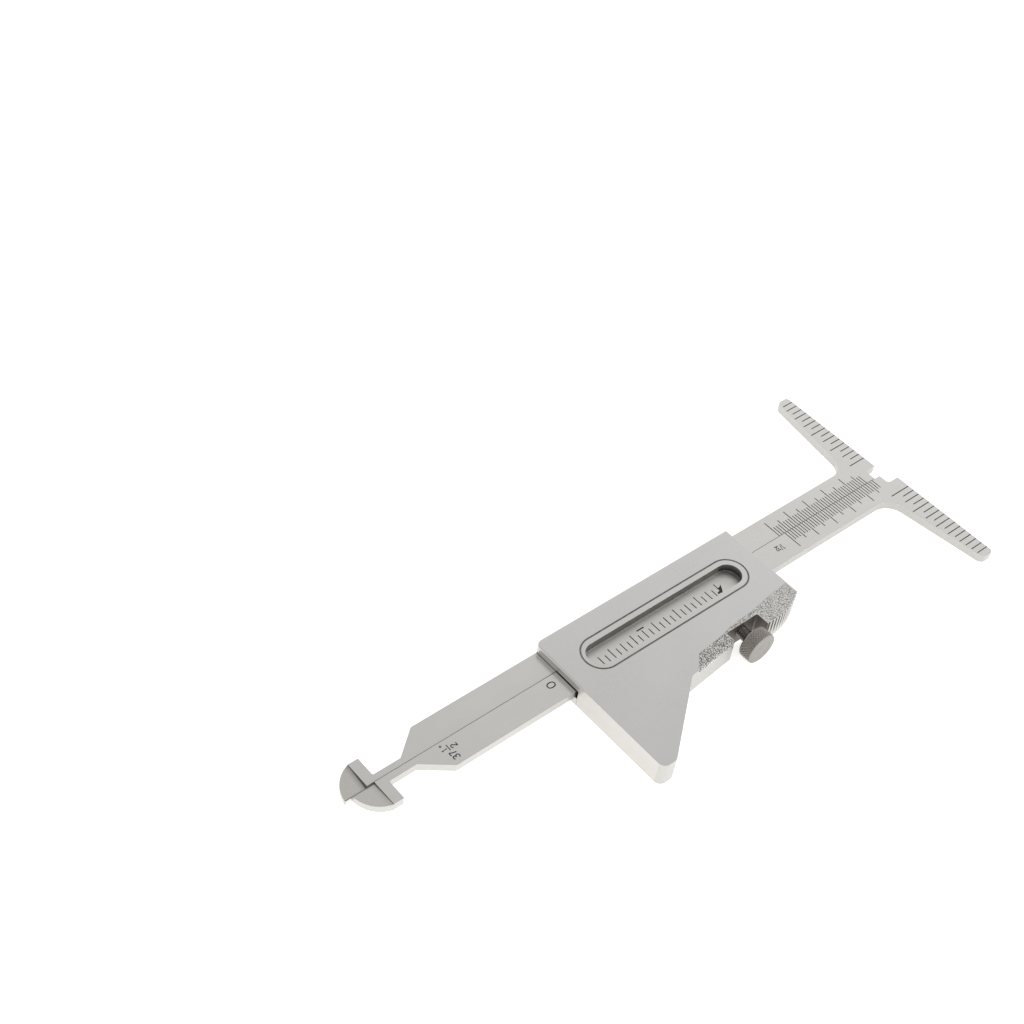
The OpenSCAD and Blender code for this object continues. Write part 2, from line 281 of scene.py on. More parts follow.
# Grip and ridges: the valleys between crests are painted shade.
M_GRIP = knurled("grip_steel", (0.60, 0.590, 0.576), (0.82, 0.811, 0.796), (0.140, 0.133, 0.124), 0.20, 0.57)
M_RIDGE = knurled("ridge_steel", (0.60, 0.592, 0.578), (0.68, 0.672, 0.658), (0.095, 0.091, 0.085), 0.42, 0.92)
M_PART = parting("parting_edge")
M_SCREW = steel("screw_steel", (0.250, 0.231, 0.215), (0.345, 0.322, 0.301), 0.36, (5000.0, 5000.0, 5000.0))
M_SCREW_END = steel("screw_face", (0.270, 0.260, 0.245), (0.312, 0.302, 0.286), 0.34, (4200.0, 4200.0, 4200.0))
M_THREAD = steel("thread_steel", (0.185, 0.170, 0.158), (0.330, 0.306, 0.286), 0.32, (5000.0, 5000.0, 5000.0))
M_FAST = steel("fastener_steel", (0.31, 0.306, 0.30), (0.40, 0.395, 0.39), 0.34, (4000.0, 4000.0, 4000.0))
M_SPRING = steel("spring_steel", (0.21, 0.225, 0.26), (0.30, 0.315, 0.35), 0.30, (500.0, 6000.0, 6000.0))
M_BRASS = steel("gib_brass", (0.55, 0.41, 0.18), (0.64, 0.49, 0.23), 0.33, (600.0, 7000.0, 7000.0))
BODY_MATS = [M_BODY, M_EDGE, M_RING, M_WINDOW, M_INNER, M_GRIP, M_NOTCH, M_FRONT, M_RIDGE, M_WINDOW_END, M_SIDE]
BLADE_MATS = [M_BLADE, M_EDGE, M_INK, M_PART, M_SIDE, M_RISER, M_RELIEF_L, M_RELIEF_R]


# ---------------------------------------------------------------- mesh helpers

def grab(node):
    """A CAD node as a welded bmesh in millimetres, with coplanar triangles joined."""
    bm = bmesh.new()
    bm.from_mesh(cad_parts[node].data)
    bm.transform(Matrix.Scale(1000.0, 4))
    bmesh.ops.remove_doubles(bm, verts=bm.verts[:], dist=0.0008)
    bmesh.ops.dissolve_degenerate(bm, dist=0.0004, edges=bm.edges[:])
    bmesh.ops.dissolve_limit(bm, angle_limit=math.radians(0.4), use_dissolve_boundaries=False,
                             verts=bm.verts[:], edges=bm.edges[:])
    bm.normal_update()
    for f in bm.faces:
        f.material_index = 0
    return bm


def to_object(bm, name, materials):
    me = bpy.data.meshes.new(name)
    bm.to_mesh(me)
    bm.free()
    for m in materials:
        me.materials.append(m)
    ob = bpy.data.objects.new(name, me)
    scene.collection.objects.link(ob)
    return ob


def apply_mods(ob):
    bpy.context.view_layer.update()
    dg = bpy.context.evaluated_depsgraph_get()
    me = bpy.data.meshes.new_from_object(ob.evaluated_get(dg), preserve_all_data_layers=True, depsgraph=dg)
    old = ob.data
    ob.modifiers.clear()
    ob.data = me
    me.name = ob.name
    bpy.data.meshes.remove(old)
    return ob


def bevel(ob, segments=3, material=-1):
    """Rounds the edges by their own weights, in millimetres."""
    b = ob.modifiers.new("bevel", "BEVEL")
    b.limit_method = "WEIGHT"
    b.width = 1.0
    b.segments = segments
    b.profile = 0.5
    b.use_clamp_overlap = False
    b.material = material
    b.miter_outer = "MITER_SHARP"
    return apply_mods(ob)


def boolean(ob, cutter, operation):
    b = ob.modifiers.new("bool", "BOOLEAN")
    b.object = cutter
    b.operation = operation
    b.solver = "MANIFOLD"
    b.material_mode = "INDEX"
    apply_mods(ob)
    me = cutter.data
    bpy.data.objects.remove(cutter)
    bpy.data.meshes.remove(me)
    return ob


def settle(ob, body, node, angle=38.0):
    """Shading normals, metres, and the body that carries the piece."""
    me = ob.data
    me.transform(Matrix.Scale(0.001, 4))
    bm = bmesh.new()
    bm.from_mesh(me)
    bm.normal_update()
    for f in bm.faces:
        f.smooth = True
    for e in bm.edges:
        e.smooth = len(e.link_faces) == 2 and e.calc_face_angle(0.0) < math.radians(angle)
    bm.to_mesh(me)
    bm.free()
    w = ob.modifiers.new("weighted", "WEIGHTED_NORMAL")
    w.mode = "FACE_AREA"
    w.weight = 60
    w.keep_sharp = True
    apply_mods(ob)
    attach(ob, body)
    if node:
        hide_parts(node)
    return ob


def near(a, b, tol=0.02):
    return abs(a - b) < tol


def weights(bm, rule, min_angle=25.0):
    """Gives each convex sharp edge the rounding that rule(edge, middle, faces) asks for."""
    layer = bm.edges.layers.float.get("bevel_weight_edge") or bm.edges.layers.float.new("bevel_weight_edge")
    for e in bm.edges:
        if len(e.link_faces) != 2 or not e.is_convex:
            continue
        if e.calc_face_angle(0.0) < math.radians(min_angle):
            continue
        mid = (e.verts[0].co + e.verts[1].co) / 2
        w = rule(e, mid, e.link_faces)
        if w:
            e[layer] = w


def z_range(f):
    zs = [v.co.z for v in f.verts]
    return min(zs), max(zs)


# ---------------------------------------------------------------- blades

def is_engraved(f):
    lo, hi = z_range(f)
    return lo > BLADE_TOP - 0.14 and hi < BLADE_TOP + 0.01 and not (f.normal.z > 0.5 and lo > BLADE_TOP - 0.02)


def blade(node, hook_x):
    bm = grab(node)
    # the parting line is only a hair wide where the blades bear on each other
    for v in bm.verts:
        if near(abs(v.co.y), 0.03, 0.004):
            v.co.y *= 0.4
    # riser, relieved faces and side faces take materials that carry painted shade
    for f in bm.faces:
        lo, hi = z_range(f)
        c = f.calc_center_median()
        if is_engraved(f):
            f.material_index = 2
        elif near(c.x, hook_x - 2.5, 0.05) and lo > 2.9 and f.normal.x < -0.9:
            f.material_index = 5
        elif f.normal.z > 0.9 and c.x < hook_x - 2.5 and lo > 2.5:
            f.material_index = 6 if hook_x == HOOK_L else 7
        elif abs(f.normal.z) < 0.3 and abs(c.y) > 0.2:
            f.material_index = 4

    def rule(e, mid, faces):
        if any(is_engraved(f) for f in faces):
            return 0.0
        if near(mid.x, hook_x - 2.5, 0.05) and mid.z > 3.2:
            return 0.02
        if abs(mid.y) < 0.08:
            return 0.12 if hook_x == HOOK_L else 0.03
        if abs(e.verts[0].co.z - e.verts[1].co.z) > 0.5:
            return 0.05
        return 0.06
    weights(bm, rule)
    ob = to_object(bm, node + "_piece", BLADE_MATS)
    bevel(ob, 2, 1)
    # the left blade's chamfer along the parting line, with painted shade outside the body and a painted highlight
    # inside
    for p in ob.data.polygons:
        c = p.center
        if p.material_index == 1 and 0.0 < c.y < 0.16:
            p.material_index = 3
    return ob


# Engraved figures: strokes in a glyph's own frame, height 1, reading along x.
def ellipse(cx, cy, rx, ry, n=28, e=2.0):
    out = []
    for i in range(n):
        a = 2 * math.pi * i / n
        ca, sa = math.cos(a), math.sin(a)
        out.append((cx + rx * math.copysign(abs(ca) ** (2 / e), ca), cy + ry * math.copysign(abs(sa) ** (2 / e), sa)))
    return out


GLYPHS = {
    "1": [[(0.04, 0.80), (0.22, 1.0), (0.22, 0.0)]],
    "2": [[(0.02, 0.74), (0.07, 0.90), (0.20, 1.0), (0.38, 0.99), (0.51, 0.87), (0.52, 0.70), (0.42, 0.52),
           (0.22, 0.30), (0.05, 0.08), (0.07, 0.0), (0.56, 0.0)]],
    "3": [[(0.02, 0.85), (0.12, 0.97), (0.28, 1.0), (0.44, 0.93), (0.50, 0.78), (0.44, 0.62), (0.27, 0.54)],
          [(0.22, 0.545), (0.42, 0.49), (0.54, 0.35), (0.54, 0.20), (0.44, 0.05), (0.27, 0.0), (0.12, 0.03), (0.0, 0.15)]],
    "7": [[(0.0, 1.0), (0.50, 1.0), (0.53, 0.94), (0.34, 0.55), (0.22, 0.0)]],
    "/": [[(0.0, 0.0), (0.30, 1.0)]],
    "-": [[(0.0, 0.5), (1.0, 0.5)]],
}


def stroke_sides(pts, width, closed):
    """Left and right sides of a line of the given width."""
    n = len(pts)
    left, right = [], []
    for i in range(n):
        p = Vector(pts[i])
        prev = Vector(pts[(i - 1) % n]) if closed or i > 0 else None
        nxt = Vector(pts[(i + 1) % n]) if closed or i < n - 1 else None
        d0 = (p - prev).normalized() if prev is not None else None
        d1 = (nxt - p).normalized() if nxt is not None else None
        d0 = d0 if d0 is not None else d1
        d1 = d1 if d1 is not None else d0
        n0, n1 = Vector((-d0.y, d0.x)), Vector((-d1.y, d1.x))
        m = (n0 + n1).normalized()
        k = min(1.6, 1.0 / max(0.2, m.dot(n0))) * width / 2
        left.append(p + m * k)
        right.append(p - m * k)
    return left, right


def engrave(ob, strokes, depth=0.1):
    """Cuts lines, given as (points, width, closed), into the top of a blade and fills them with ink."""
    bm = bmesh.new()
    z0, z1 = BLADE_TOP - depth, BLADE_TOP + 0.3
    for pts, width, closed in strokes:
        left, right = stroke_sides(pts, width, closed)
        n = len(pts)
        v = [[bm.verts.new((q.x, q.y, z)) for q in side] for z in (z0, z1) for side in (left, right)]
        for i in range(n if closed else n - 1):
            j = (i + 1) % n
            bm.faces.new((v[0][i], v[0][j], v[1][j], v[1][i]))
            bm.faces.new((v[2][i], v[3][i], v[3][j], v[2][j]))
            bm.faces.new((v[0][i], v[2][i], v[2][j], v[0][j]))
            bm.faces.new((v[1][i], v[1][j], v[3][j], v[3][i]))
        if not closed:
            bm.faces.new((v[0][0], v[1][0], v[3][0], v[2][0]))
            bm.faces.new((v[0][-1], v[2][-1], v[3][-1], v[1][-1]))
    bmesh.ops.recalc_face_normals(bm, faces=bm.faces[:])
    for f in bm.faces:
        f.material_index = 2
    boolean(ob, to_object(bm, "engraving", BLADE_MATS), "DIFFERENCE")


def engrave_shape(ob, pts, depth=0.1):
    bm = bmesh.new()
    lo = [bm.verts.new((x, y, BLADE_TOP - depth)) for x, y in pts]
    hi = [bm.verts.new((x, y, BLADE_TOP + 0.3)) for x, y in pts]
    bm.faces.new(lo)
    bm.faces.new(hi[::-1])
    for i in range(len(pts)):
        j = (i + 1) % len(pts)
        bm.faces.new((lo[i], hi[i], hi[j], lo[j]))
    bmesh.ops.recalc_face_normals(bm, faces=bm.faces[:])
    for f in bm.faces:
        f.material_index = 2
    boolean(ob, to_object(bm, "engraving", BLADE_MATS), "DIFFERENCE")


def glyph(char, origin, height, x_dir, y_dir, width, stretch=1.0):
    o, gx, gy = Vector(origin), Vector(x_dir), Vector(y_dir)
    return [([tuple(o + gx * (px * height * stretch) + gy * (py * height)) for px, py in line], width, False)
            for line in GLYPHS[char]]


def figures(ob):
    """Zero mark, bevel angle and pitch of the fine scale on the right blade."""
    across, back = (0.0, 1.0), (-1.0, 0.0)
    first, second = [], []

    def put(char, origin, height, x_dir, y_dir, width, stretch=1.0):
        lines = glyph(char, origin, height, x_dir, y_dir, width, stretch)
        first.append(lines[0])
        second.extend(lines[1:])

    first.append((ellipse(-31.72, -2.05, 0.92, 0.655, 36, 2.35), 0.27, True))
    put("3", (-58.02, -5.05), 1.5, across, back, 0.25)
    put("7", (-58.02, -4.02), 1.5, across, back, 0.25)
    put("1", (-59.12, -2.32), 1.25, across, back, 0.22)
    put("-", (-58.20, -2.75), 1.1, across, back, 0.20, 1.4)
    put("2", (-56.82, -2.58), 1.35, across, back, 0.23)
    first.append((ellipse(-59.95, -0.92, 0.19, 0.19, 16), 0.16, True))
    along, up = (-1.0, 0.0), (0.0, -1.0)
    put("1", (37.80, -1.85), 1.6, along, up, 0.18)
    put("/", (37.24, -1.72), 1.8, along, up, 0.15, 0.95)
    put("3", (36.60, -1.78), 1.3, along, up, 0.17, 0.75)
    put("2", (36.04, -1.78), 1.3, along, up, 0.17, 0.75)
    engrave(ob, first)
    engrave(ob, second, 0.095)
    # punch dot before the first line and index arrow at the other end of the window scale
    engrave_shape(ob, ellipse(-20.48, -3.12, 0.15, 0.15, 12), 0.11)
    engrave_shape(ob, [(17.45, -2.48), (16.95, -2.92), (16.12, -3.12), (15.90, -3.82), (15.05, -4.02), (15.05, -4.44),
                       (16.25, -4.46), (16.75, -3.85)], 0.105)


left = blade("left_blade", HOOK_L)
right = blade("right_blade", HOOK_R)
figures(right)


# ---------------------------------------------------------------- body

def in_window(c):
    return -22.4 < c.x < 22.8 and -5.9 < c.y < 0.6


def ring_face(f):
    lo, hi = z_range(f)
    return lo > 5.93 and hi < FACE + 0.01 and not (f.normal.z > 0.5 and lo > FACE - 0.02)


def ridge_radius(co):
    return math.hypot(co.x - PAD_C[0], co.y - PAD_C[1])


def body_piece():
    bm = grab("body")
    # ring groove, window, end, notch and channel walls take dark materials that paint their shade; front and side
    # faces take darker steel copies, painted shade
    for f in bm.faces:
        lo, hi = z_range(f)
        c = f.calc_center_median()
        if ring_face(f):
            f.material_index = 2
        elif abs(f.normal.z) < 0.3 and in_window(c) and lo > 4.0:
            f.material_index = 9 if f.normal.x < -0.05 else 3
        elif abs(f.normal.z) < 0.3 and 6.5 < c.x < 16.7 and -17.2 < c.y < -14.2 and (f.normal.y < -0.9 or abs(f.normal.x) > 0.3):
            f.material_index = 6
        elif -8.7 < c.y < 6.5 and hi < 4.6 and abs(c.x) < 28.45:
            f.material_index = 4
        elif abs(f.normal.z) < 0.3 and c.x > 16.36 and c.y < -14.8 and 18.3 < ridge_radius(c) < 18.95:
            f.material_index = 8
        elif f.normal.x < -0.99 and c.x < -28.4:
            f.material_index = 7
        elif abs(f.normal.z) < 0.3 and hi > 5.0:
            f.material_index = 10

    def rule(e, mid, faces):
        if any(ring_face(f) for f in faces):
            return 0.0
        flat = abs(e.verts[0].co.z - e.verts[1].co.z) < 0.02
        if flat and near(mid.z, FACE):
            if in_window(mid):
                return 0.08
            if mid.x > 16.4 and mid.y < -14.5:
                return 0.08
            return 0.06
        if flat and near(mid.z, 0.0):
            outer = not (-26.5 < mid.x < 26.5 and -13.0 < mid.y < 6.5)
            return 0.14 if outer else 0.06
        if not flat and 6.0 < mid.x < 17.0 and -16.4 < mid.y < -14.2:
            return 0.0
        if not flat and mid.x > 16.3 and mid.y < -8.0:
            return 0.05
        return 0.06
    weights(bm, rule)
    ob = to_object(bm, "body_piece", BODY_MATS)
    bevel(ob, 3, 1)
    # height on the ridges of the thumb pad, for the painted shade between them
    bm = bmesh.new()
    bm.from_mesh(ob.data)
    layer = bm.verts.layers.float.new("crest")
    for v in bm.verts:
        if v.co.x > 16.3 and v.co.y < -14.0:
            deep = min(1.0, max(0.0, (ridge_radius(v.co) - 18.50) / 0.26))
            v[layer] = max(deep, min(1.0, max(0.0, (1.9 - v.co.z) / 1.6)))
    bm.to_mesh(ob.data)
    bm.free()
    return ob


def box_cutter(lo, hi, material):
    bm = bmesh.new()
    bmesh.ops.create_cube(bm, size=1.0)
    for v in bm.verts:
        v.co = Vector([lo[i] if v.co[i] < 0 else hi[i] for i in range(3)])
    for f in bm.faces:
        f.material_index = material
    return to_object(bm, "cutter", BODY_MATS)


def nose_cutter():
    """Everything outside the rounded top edge over the mouth, around the corner and along the left wall."""
    stations = []
    x0, y1, rc, r1 = -28.5, 7.35, 1.8, 0.34
    for k in range(7):
        u = k / 6
        stations.append((x0, -9.0 + 2.0 * u, -1.0, 0.0, 0.05 + (r1 - 0.05) * u))
    for k in range(1, 9):
        stations.append((x0, -7.0 + (y1 - rc + 7.0) * k / 8, -1.0, 0.0, r1))
    for k in range(1, 17):
        a = math.pi * (1.0 - 0.5 * k / 16)
        stations.append((x0 + rc + rc * math.cos(a), y1 - rc + rc * math.sin(a), math.cos(a), math.sin(a), r1))
    for k in range(1, 13):
        stations.append((x0 + rc + 56.0 * k / 12, y1, 0.0, 1.0, r1))
    eps = 0.004
    steps = 8
    bm = bmesh.new()
    loops = []
    for x, y, nx, ny, r in stations:
        prof = [(0.7, FACE - r)]
        for i in range(steps + 1):
            t = math.pi / 2 * (1.0 - i / steps)
            prof.append((-r - eps + r * math.sin(t), FACE - r - eps + r * math.cos(t)))
        prof += [(-r - eps, FACE + 0.5), (0.7, FACE + 0.5)]
        loops.append([bm.verts.new((x + nx * a, y + ny * a, z)) for a, z in prof])
    for l0, l1 in zip(loops, loops[1:]):
        for i in range(len(l0)):
            j = (i + 1) % len(l0)
            bm.faces.new((l0[i], l0[j], l1[j], l1[i]))
    bm.faces.new(loops[0][::-1])
    bm.faces.new(loops[-1])
    bmesh.ops.recalc_face_normals(bm, faces=bm.faces[:])
    for f in bm.faces:
        f.material_index = 7
    return to_object(bm, "nose_cutter", BODY_MATS)


PAD_C = (18.58, 0.84)
body = body_piece()
boolean(body, nose_cutter(), "DIFFERENCE")
# gaps over the blades at the mouth, lined with the dark channel steel as painted shade
boolean(body, box_cutter((-29.5, -6.86, 4.0), (-27.2, -0.04, 4.42), 4), "DIFFERENCE")
boolean(body, box_cutter((-29.5, -0.05, 4.0), (-27.8, 6.41, 4.28), 4), "DIFFERENCE")


# ---------------------------------------------------------------- knurled grip on the thumb lug

def hashed(i, j, k):
    v = np.sin(i * 127.1 + j * 311.7 + k * 74.7) * 43758.5453
    return v - np.floor(v)


def stipple(x, y, cell=0.30):
    """Height 0..1 of a field of packed, uneven domes."""
    gx, gy = x / cell, y / cell
    ix, iy = np.floor(gx), np.floor(gy)
    best = np.zeros_like(x)
    for dx in (-1, 0, 1):
        for dy in (-1, 0, 1):
            cx, cy = ix + dx, iy + dy
            px = cx + 0.5 + 0.55 * (hashed(cx, cy, 1.0) - 0.5) + 0.25 * (np.mod(cy, 2) - 0.5)
            py = cy + 0.5 + 0.55 * (hashed(cx, cy, 2.0) - 0.5)
            top = 0.40 + 0.60 * hashed(cx, cy, 3.0)
            size = 0.50 + 0.28 * hashed(cx, cy, 4.0)
            d2 = ((gx - px) ** 2 + (gy - py) ** 2) / size ** 2
            best = np.maximum(best, top * np.clip(1.0 - d2, 0.0, 1.0))
    return best


def polyline(pts, n):
    """n points spaced evenly by length along pts."""
    p = np.array(pts, float)
    seg = np.linalg.norm(np.diff(p, axis=0), axis=1)
    s = np.concatenate([[0], np.cumsum(seg)])
    t = np.linspace(0, s[-1], n)
    return np.stack([np.interp(t, s, p[:, i]) for i in range(p.shape[1])], 1)


def sheet_solid(name, top, bottom, material, crest=None):
    """Closed solid between two grids of points of the same shape."""
    a, b = top.shape[:2]
    bm = bmesh.new()
    layer = bm.verts.layers.float.new("crest")
    vt = [[bm.verts.new(top[i, j]) for j in range(b)] for i in range(a)]
    vb = [[bm.verts.new(bottom[i, j]) for j in range(b)] for i in range(a)]
    if crest is not None:
        for i in range(a):
            for j in range(b):
                vt[i][j][layer] = float(crest[i, j])
    for i in range(a - 1):
        for j in range(b - 1):
            bm.faces.new((vt[i][j], vt[i + 1][j], vt[i + 1][j + 1], vt[i][j + 1]))
            bm.faces.new((vb[i][j], vb[i][j + 1], vb[i + 1][j + 1], vb[i + 1][j]))
    for i in range(a - 1):
        bm.faces.new((vt[i][0], vb[i][0], vb[i + 1][0], vt[i + 1][0]))
        bm.faces.new((vt[i][b - 1], vt[i + 1][b - 1], vb[i + 1][b - 1], vb[i][b - 1]))
    for j in range(b - 1):
        bm.faces.new((vt[0][j], vt[0][j + 1], vb[0][j + 1], vb[0][j]))
        bm.faces.new((vt[a - 1][j], vb[a - 1][j], vb[a - 1][j + 1], vt[a - 1][j + 1]))
    bmesh.ops.recalc_face_normals(bm, faces=bm.faces[:])
    for f in bm.faces:
        f.material_index = material
    return to_object(bm, name, BODY_MATS)


def grip_patch(name, inner, outer, step, least_crest, edge_r=0.0, drop=0.0, grow=0.03):
    """Points and normals of a grip: flat from the inner line towards the outer one, then rolled over the edge."""
    n = max(8, int(max(np.linalg.norm(np.diff(np.array(inner), axis=0), axis=1).sum(),
                       np.linalg.norm(np.diff(np.array(outer), axis=0), axis=1).sum()) / step))

    def surface(a, b, extend):
        rows_p, rows_n = [], []
        for p, q in zip(polyline(a, n), polyline(b, n)):
            d = q - p
            length = np.linalg.norm(d)
            d = d / length
            flat = length - edge_r
            arc = edge_r * math.radians(85.0) if edge_r else 0.0
            total = flat + arc + drop
            m = grip_patch.count
            pts, nrm = [], []
            for s in np.linspace(-extend, total + (extend if not edge_r else 0.0), m):
                if s <= flat or not edge_r:
                    pts.append((*(p + d * s), FACE))
                    nrm.append((0, 0, 1))
                elif s <= flat + arc:
                    ph = (s - flat) / edge_r
                    xy = p + d * (flat + edge_r * math.sin(ph))
                    pts.append((*xy, FACE - edge_r * (1 - math.cos(ph))))
                    nrm.append((d[0] * math.sin(ph), d[1] * math.sin(ph), math.cos(ph)))
                else:
                    ph = math.radians(85.0)
                    k = s - flat - arc
                    xy = p + d * (flat + edge_r * math.sin(ph) + k * math.cos(ph))
                    pts.append((*xy, FACE - edge_r * (1 - math.cos(ph)) - k * math.sin(ph)))
                    nrm.append((d[0] * math.sin(ph), d[1] * math.sin(ph), math.cos(ph)))
            rows_p.append(pts)
            rows_n.append(nrm)
        return np.array(rows_p), np.array(rows_n)

    widest = max(np.linalg.norm(np.array(b) - np.array(a)) for a, b in zip(polyline(inner, 9), polyline(outer, 9)))
    grip_patch.count = max(6, int((widest + edge_r + drop) / step))
    P, N = surface(inner, outer, 0.0)
    a, b = P.shape[:2]
    # distance across the rolled surface, so that the domes keep their size over the edge
    acc = np.concatenate([np.zeros((a, 1)), np.cumsum(np.linalg.norm(np.diff(P, axis=1), axis=2), axis=1)], 1)
    first = P[:, :1, :2]
    last = P[:, -1:, :2]
    d = last - first
    d = d / np.linalg.norm(d, axis=2, keepdims=True)
    U = first + d * acc[..., None]
    h = stipple(U[..., 0], U[..., 1])
    fade = np.ones((a, b))
    ii, jj = np.meshgrid(np.arange(a), np.arange(b), indexing="ij")
    e = np.minimum(np.minimum(ii, a - 1 - ii), np.minimum(jj, b - 1 - jj))
    fade = np.clip(e / 2.0, 0, 1)
    top = P + N * (fade * (-0.13 + 0.24 * h) - (1.0 - fade) * 0.012)[..., None]
    bottom = P - N * 0.5
    # crest follows the stipple height, with a floor that limits the painted shade in the valleys
    solid = sheet_solid(name, top, bottom, 5, np.maximum(least_crest + (1.0 - least_crest) * h, 0.7 * (1.0 - fade)))
    # the pocket that the grip is punched into
    grown = P.copy()
    side = np.zeros_like(P)
    along = np.gradient(P, axis=0)
    along /= np.linalg.norm(along, axis=2, keepdims=True)
    across = np.gradient(P, axis=1)
    across /= np.linalg.norm(across, axis=2, keepdims=True)
    grown[0] -= along[0] * grow
    grown[-1] += along[-1] * grow
    grown[:, 0] -= across[:, 0] * grow
    grown[:, -1] += across[:, -1] * grow
    cutter = sheet_solid(name + "_pocket", grown + N * 1.5, grown - N * 0.16, 5)
    return solid, cutter


def pad_arc(r, x0, x1, n=24):
    out = []
    for i in range(n):
        x = x0 + (x1 - x0) * i / (n - 1)
        out.append((x, PAD_C[1] - math.sqrt(r * r - (x - PAD_C[0]) ** 2)))
    return out


LUG_LEFT_IN = [(-1.85, -15.0), (2.0, -14.65), (6.72, -14.22)]
LUG_LEFT_OUT = [(-5.35, -18.33), (0.0, -17.81), (6.72, -17.17)]
STRIP_IN = [(6.8, -14.02), (9.0, -13.68), (11.0, -13.45), (16.45, -13.15)]
STRIP_OUT = [(6.8, -14.33), (16.45, -14.33)]
LUG_RIGHT_IN = [(16.52, -13.12), (19.75, -12.60), (22.5, -12.28), (25.0, -12.05), (28.05, -11.85)]
LUG_RIGHT_OUT = pad_arc(18.42, 16.52, 28.05)

patches = [grip_patch("grip_left", LUG_LEFT_IN, LUG_LEFT_OUT, 0.08, 0.05, 0.8, 0.35),
           grip_patch("grip_strip", STRIP_IN, STRIP_OUT, 0.08, 0.12),
           grip_patch("grip_right", LUG_RIGHT_IN, LUG_RIGHT_OUT, 0.08, 0.20)]
for solid, cutter in patches:
    boolean(body, cutter, "DIFFERENCE")
for solid, cutter in patches:
    boolean(body, solid, "UNION")


# ---------------------------------------------------------------- lock screw

def lock_screw():
    x0, z0 = 12.1, 3.40
    turns = 192
    tip, head0, head1 = -9.62, -17.5, -20.7
    pitch = 0.5
    rings = []
    y = tip
    rings.append((y, "flat", 0.9))
    rings.append((y, "flat", 1.05))
    y = tip - 0.3
    while y > head0 + 0.45:
        rings.append((y, "thread", 0.0))
        y -= 0.0625
    rings += [(head0 + 0.40, "flat", 1.14), (head0 + 0.08, "flat", 1.14), (head0, "flat", 1.22),
              (head0, "flat", 3.35), (head0 - 0.04, "flat", 3.55), (head0 - 0.22, "flat", 3.72)]
    k = 0
    n = 34
    for k in range(n + 1):
        rings.append((head0 - 0.25 + (head1 + 0.12 - (head0 - 0.25)) * k / n, "knurl", k / n))
    rings += [(head1 + 0.10, "flat", 3.80), (head1 + 0.025, "flat", 3.78), (head1, "flat", 3.72),
              (head1, "flat", 2.0), (head1 + 0.012, "flat", 1.95), (head1 + 0.012, "flat", 1.85), (head1, "flat", 1.8), (head1, "flat", 0.5)]
    bm = bmesh.new()
    grid = []
    for y, kind, r in rings:
        row = []
        for i in range(turns):
            a = 2 * math.pi * i / turns
            if kind == "flat":
                rad = r
            elif kind == "thread":
                t = (-(y - tip) / pitch - i / turns) % 1.0
                w = abs(t - 0.5) * 2.0
                rad = 1.17 + 0.28 * min(1.0, max(0.0, (w - 0.12) / 0.76))
                fade = min(1.0, max(0.0, (-(y - tip) - 0.25) / 0.4))
                rad = 1.08 + (rad - 1.08) * (0.3 + 0.7 * fade)
            else:
                p = 0.76
                u = i / turns * 32.0
                v = (y - head0) / p
                f1 = abs(((u + v) % 1.0) - 0.5) * 2.0
                f2 = abs(((u - v) % 1.0) - 0.5) * 2.0
                rad = 3.85 - 0.23 * (1.0 - min(1.0, min(f1, f2) * 1.45))
                end = min(1.0, min(r, 1.0 - r) * 12.0)
                rad = 3.76 + (rad - 3.76) * (0.35 + 0.65 * end)
            row.append(bm.verts.new((x0 + rad * math.cos(a), y, z0 + rad * math.sin(a))))
        grid.append(row)
    for j in range(len(grid) - 1):
        kind = rings[j + 1][1]
        for i in range(turns):
            i2 = (i + 1) % turns
            f = bm.faces.new((grid[j][i], grid[j][i2], grid[j + 1][i2], grid[j + 1][i]))
            if rings[j][0] <= head1 + 0.11 and rings[j][1] == "flat":
                f.material_index = 1
            elif rings[j][0] > head0 + 0.05:
                f.material_index = 2
    bm.faces.new(grid[0][::-1])
    f = bm.faces.new(grid[-1])
    f.material_index = 1
    bmesh.ops.recalc_face_normals(bm, faces=bm.faces[:])
    ob = to_object(bm, "lock_screw_piece", [M_SCREW, M_SCREW_END, M_THREAD])
    return settle(ob, "lock_screw", "lock_screw", 32.0)


lock_screw()


# ---------------------------------------------------------------- cover, fasteners and inner pieces

def plain(node, bodyname, mats, w, segs=2):
    bm = grab(node)
    weights(bm, lambda e, mid, faces: w)
    ob = to_object(bm, node + "_piece", mats)
    bevel(ob, segs, 1 if len(mats) > 1 else -1)
    return settle(ob, bodyname, node)


plain("back_cover", "body", [M_COVER, M_EDGE], 0.07)
plain("cover_screws", "body", [M_FAST, M_EDGE], 0.05)
plain("gib_strip", "body", [M_BRASS], 0.08)
plain("gib_spring", "body", [M_SPRING], 0.02)
plain("lock_pad", "lock_pad", [M_BRASS], 0.08)

settle(left, "left_blade", "left_blade")
settle(right, "right_blade", "right_blade")
settle(body, "body", "body")


# ---------------------------------------------------------------- floor, light, camera

def floor():
    bm = bmesh.new()
    bmesh.ops.create_grid(bm, x_segments=8, y_segments=8, size=2.5)
    me = bpy.data.meshes.new("floor")
    bm.to_mesh(me)
    bm.free()
    m, nt, bsdf = new_material("floor_white")
    n = noise(nt, (6.0, 6.0, 6.0), 2.0, 0.5)
    nt.links.new(mix_colour(nt, n, (0.93, 0.92, 0.905), (0.945, 0.935, 0.92)), bsdf.inputs["Base Color"])
    bsdf.inputs["Roughness"].default_value = 0.9
    bsdf.inputs["Specular IOR Level"].default_value = 0.1
    bsdf.inputs["Emission Color"].default_value = (1.0, 0.99, 0.975, 1.0)
    bsdf.inputs["Emission Strength"].default_value = 0.68
    me.materials.append(m)
    ob = bpy.data.objects.new("floor", me)
    ob.location = (0, 0, -0.0005)
    scene.collection.objects.link(ob)


floor()


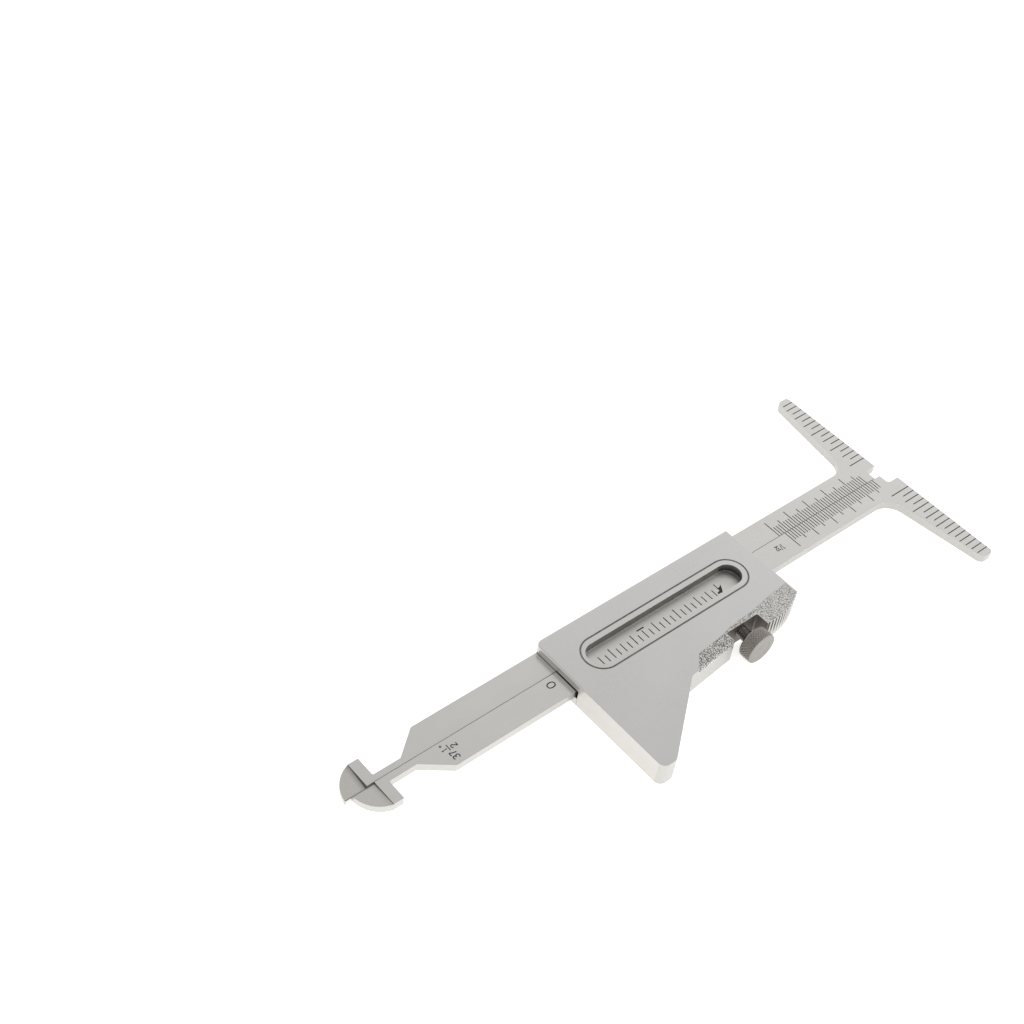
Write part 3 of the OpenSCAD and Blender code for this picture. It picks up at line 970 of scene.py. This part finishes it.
def area(name, loc, target, size, power, colour):
    d = bpy.data.lights.new(name, "AREA")
    d.shape = "RECTANGLE"
    d.size, d.size_y = size
    d.energy = power
    d.color = colour
    ob = bpy.data.objects.new(name, d)
    ob.location = loc
    ob.rotation_mode = "QUATERNION"
    ob.rotation_quaternion = (Vector(target) - Vector(loc)).to_track_quat("-Z", "Y")
    scene.collection.objects.link(ob)


# Broad, even key from the camera's side.
area("key", (-1.35, -1.6, 2.0), (0, 0, 0), (3.6, 3.6), 5.0, (1.0, 0.985, 0.965))

# Studio surround: bright towards the horizon, calmer overhead, dim beyond the hooks.
world = bpy.data.worlds.new("studio")
world.use_nodes = True
wt = world.node_tree
bg = wt.nodes["Background"]
tc = wt.nodes.new("ShaderNodeTexCoord")
sep = wt.nodes.new("ShaderNodeSeparateXYZ")
wt.links.new(tc.outputs["Generated"], sep.inputs["Vector"])


def lean(ax, ay):
    return math_node(wt, "ADD", math_node(wt, "MULTIPLY", sep.outputs["X"], ax), math_node(wt, "MULTIPLY", sep.outputs["Y"], ay))


level = ramp(wt, sep.outputs["Z"], 0.42, 0.885, 1.255, 0.620)
level = math_node(wt, "MULTIPLY", level, ramp(wt, lean(-0.85, 0.42), 0.10, 0.80, 1.0, 0.78))
level = math_node(wt, "MULTIPLY", level, ramp(wt, lean(-0.20, -0.95), 0.0, 0.8, 1.0, 0.95))
wt.links.new(level, bg.inputs["Strength"])
bg.inputs["Color"].default_value = (1.0, 0.995, 0.985, 1.0)
scene.world = world

cam_data = bpy.data.cameras.new("camera")
cam_data.lens = 60.23
cam_data.sensor_width = 36.0
cam_data.clip_start = 0.01
cam_data.clip_end = 20.0
cam = bpy.data.objects.new("camera", cam_data)
right_axis = Vector((0.76045868, -0.64147029, 0.1010864))
up_axis = Vector((0.40569816, 0.59084611, 0.69735921))
back_axis = Vector((-0.50706172, -0.4893023, 0.70955738))
cam.matrix_world = Matrix((
    (right_axis.x, up_axis.x, back_axis.x, -0.20161),
    (right_axis.y, up_axis.y, back_axis.y, -0.14789),
    (right_axis.z, up_axis.z, back_axis.z, 0.27746),
    (0, 0, 0, 1)))
scene.collection.objects.link(cam)
scene.camera = cam
scene.view_settings.view_transform = "Standard"
